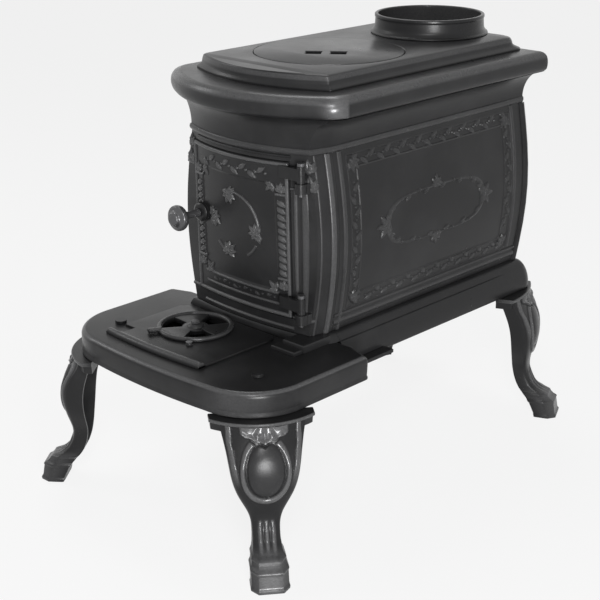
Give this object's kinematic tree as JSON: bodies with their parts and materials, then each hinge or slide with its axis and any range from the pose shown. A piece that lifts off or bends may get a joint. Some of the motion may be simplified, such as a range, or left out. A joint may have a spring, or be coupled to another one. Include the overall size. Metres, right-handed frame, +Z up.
{
  "type": "box stove",
  "caption": "Cast-iron parlour box stove with a bowed front hearth, spin draft, side-hinged feed door, cook lid and flue collar on cabriole legs.",
  "frame": {"origin": "on the floor, at the middle of the rectangle that the stove stands in", "axes": "+Z up; the feed door and hearth face -Y; +X is to the right of someone facing the door"},
  "size_m": [0.4842, 0.7141, 0.6216],
  "materials": {
    "black_iron": "satin blackened casting",
    "top_iron": "satin, rubbed lighter on top",
    "fire_iron": "dull, fire-scaled",
    "steel": "darkened bare steel"
  },
  "bodies": {
    "stove": {"top_plate": "top_iron", "flue_collar": "top_iron", "flue_collar_screw_1": "steel", "flue_collar_screw_2": "steel", "neck_frame": "black_iron", "side_panel_right": "black_iron", "side_panel_left": "black_iron", "back_panel": "black_iron", "front_frame": "black_iron", "base_frame": "black_iron", "hearth_plate": "black_iron", "ash_pit": "fire_iron", "fire_grate": "fire_iron", "hinge_pin_upper": "steel", "hinge_pin_lower": "steel", "tie_rod_1": "steel", "tie_rod_2": "steel", "tie_rod_3": "steel", "tie_rod_4": "steel", "tie_rod_nut_1": "steel", "tie_rod_nut_2": "steel", "tie_rod_nut_3": "steel", "tie_rod_nut_4": "steel", "leg_front_right": "black_iron", "leg_front_left": "black_iron", "leg_rear_right": "black_iron", "leg_rear_left": "black_iron", "front_leg_bolt_right": "steel", "front_leg_bolt_left": "steel", "front_leg_nut_right": "steel", "front_leg_nut_left": "steel", "rear_leg_bolt_right": "steel", "rear_leg_bolt_left": "steel"},
    "lid": {"cook_lid": "top_iron"},
    "ash_cover": {"hearth_cover": "black_iron", "draft_bolt": "steel", "draft_nut": "steel", "draft_stop_stud": "steel"},
    "draft": {"spin_draft": "black_iron"},
    "door": {"feed_door": "black_iron", "latch_collar": "black_iron"},
    "latch": {"door_knob": "black_iron", "knob_spindle": "steel", "latch_tongue": "black_iron", "latch_nut": "steel"}
  },
  "joints": [
    {"name": "door_swing", "type": "hinge", "parent": "stove", "child": "door", "pos_m": [0.106, -0.155, 0.37], "axis": [0, 0, 1], "range_deg": [0, 110]},
    {"name": "latch_turn", "type": "hinge", "parent": "door", "child": "latch", "pos_m": [-0.081, -0.155, 0.386], "axis": [0, 1, 0], "range_deg": [-90, 0]},
    {"name": "lid_lift", "type": "slide", "parent": "stove", "child": "lid", "axis": [0, 0, 1], "range_m": [0, 0.12]},
    {"name": "ash_cover_lift", "type": "slide", "parent": "stove", "child": "ash_cover", "axis": [0, 0, 1], "range_m": [0, 0.035]},
    {"name": "draft_spin", "type": "hinge", "parent": "ash_cover", "child": "draft", "pos_m": [-0.038, -0.2125, 0.245], "axis": [0, 0, 1], "range_deg": [0, 57]}
  ]
}
